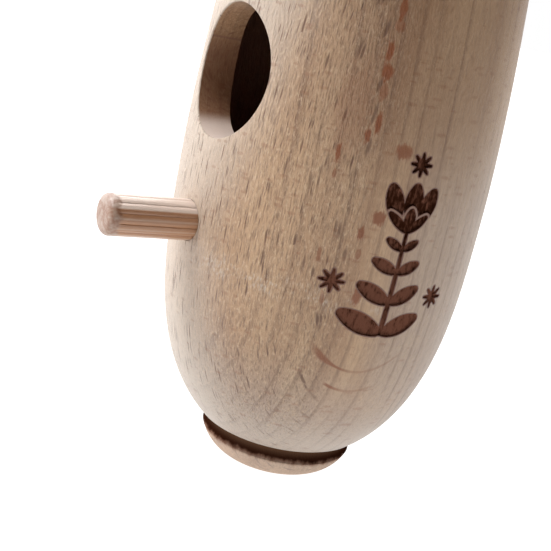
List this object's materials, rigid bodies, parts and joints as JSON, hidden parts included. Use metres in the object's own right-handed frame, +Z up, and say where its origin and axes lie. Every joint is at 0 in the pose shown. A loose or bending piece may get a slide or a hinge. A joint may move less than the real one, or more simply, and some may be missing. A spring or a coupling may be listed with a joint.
{
  "type": "birdhouse",
  "caption": "Small turned wooden birdhouse: an egg-shaped hollow body on a round foot, with an oval entrance hole, a dowel perch, an engraved flower and a lift-off roof.",
  "frame": {"origin": "centre of the foot's flat underside", "axes": "+Z up along the turning axis, -Y out through the entrance hole, +X to the right as seen from the front"},
  "size_m": [0.072, 0.0847, 0.1642],
  "materials": {
    "turned_beech": "fine sanded, bare",
    "dowel_beech": "pressed flutes, bare"
  },
  "bodies": {
    "house": {"body": "turned_beech", "perch": "dowel_beech"},
    "lid": {"roof": "turned_beech", "knob": "turned_beech"}
  },
  "joints": [
    {"name": "roof_lift", "type": "slide", "parent": "house", "child": "lid", "axis": [0, 0, 1], "range_m": [0, 0.03]}
  ]
}
